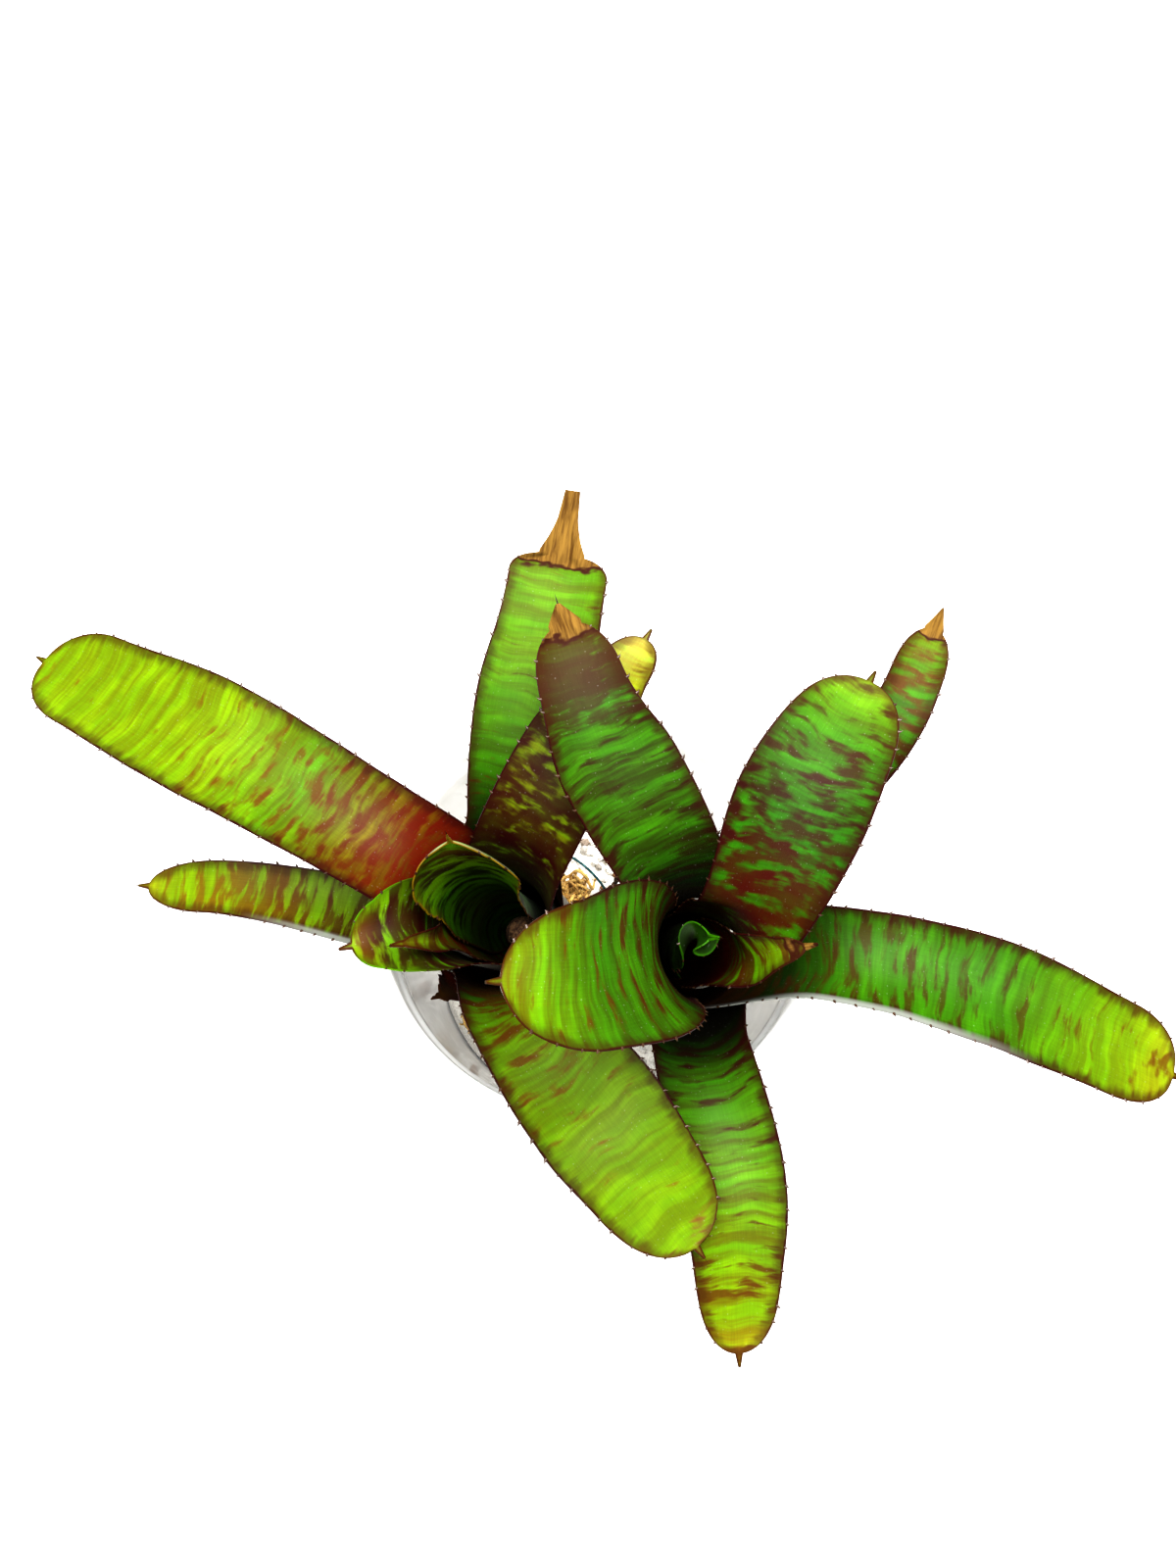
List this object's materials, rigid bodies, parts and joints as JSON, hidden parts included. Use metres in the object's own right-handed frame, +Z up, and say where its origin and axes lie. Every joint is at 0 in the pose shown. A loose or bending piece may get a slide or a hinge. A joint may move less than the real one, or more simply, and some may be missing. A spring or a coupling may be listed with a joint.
{
  "type": "neoregelia bromeliad",
  "caption": "Two banded green and maroon bromeliad rosettes on one runner, growing in a round white pot with pale medium and golden moss.",
  "frame": {"origin": "centre of the pot's flat underside", "axes": "+Z up, +X to the right of the two rosettes as seen from the front, +Y to the back"},
  "size_m": [0.2976, 0.2052, 0.1866],
  "materials": {
    "white_pot": "gloss",
    "pale_medium": "matte",
    "golden_moss": "matte",
    "brown_stem": "matte",
    "dark_twig": "matte",
    "teal_wire": "satin",
    "banded_leaf": "satin",
    "maroon_leaf": "satin",
    "young_leaf": "satin",
    "dark_sheath": "satin"
  },
  "bodies": {
    "root": {"growing_medium": "pale_medium", "left_leaf_back": "maroon_leaf", "left_leaf_dry_tip": "banded_leaf", "left_leaf_front": "banded_leaf", "left_leaf_hood": "maroon_leaf", "left_leaf_long": "banded_leaf", "left_leaf_low": "banded_leaf", "left_leaf_short": "maroon_leaf", "left_leaf_spear": "young_leaf", "left_leaf_stub": "dark_sheath", "moss_left": "golden_moss", "moss_middle": "golden_moss", "pot": "white_pot", "right_leaf_back": "banded_leaf", "right_leaf_dry_tip": "banded_leaf", "right_leaf_front": "banded_leaf", "right_leaf_heart": "young_leaf", "right_leaf_high": "banded_leaf", "right_leaf_long": "banded_leaf", "right_leaf_narrow": "banded_leaf", "right_leaf_short": "banded_leaf", "runner": "brown_stem", "stem_left": "brown_stem", "stem_right": "brown_stem", "twig": "dark_twig", "wire_hoop": "teal_wire"}
  },
  "joints": []
}
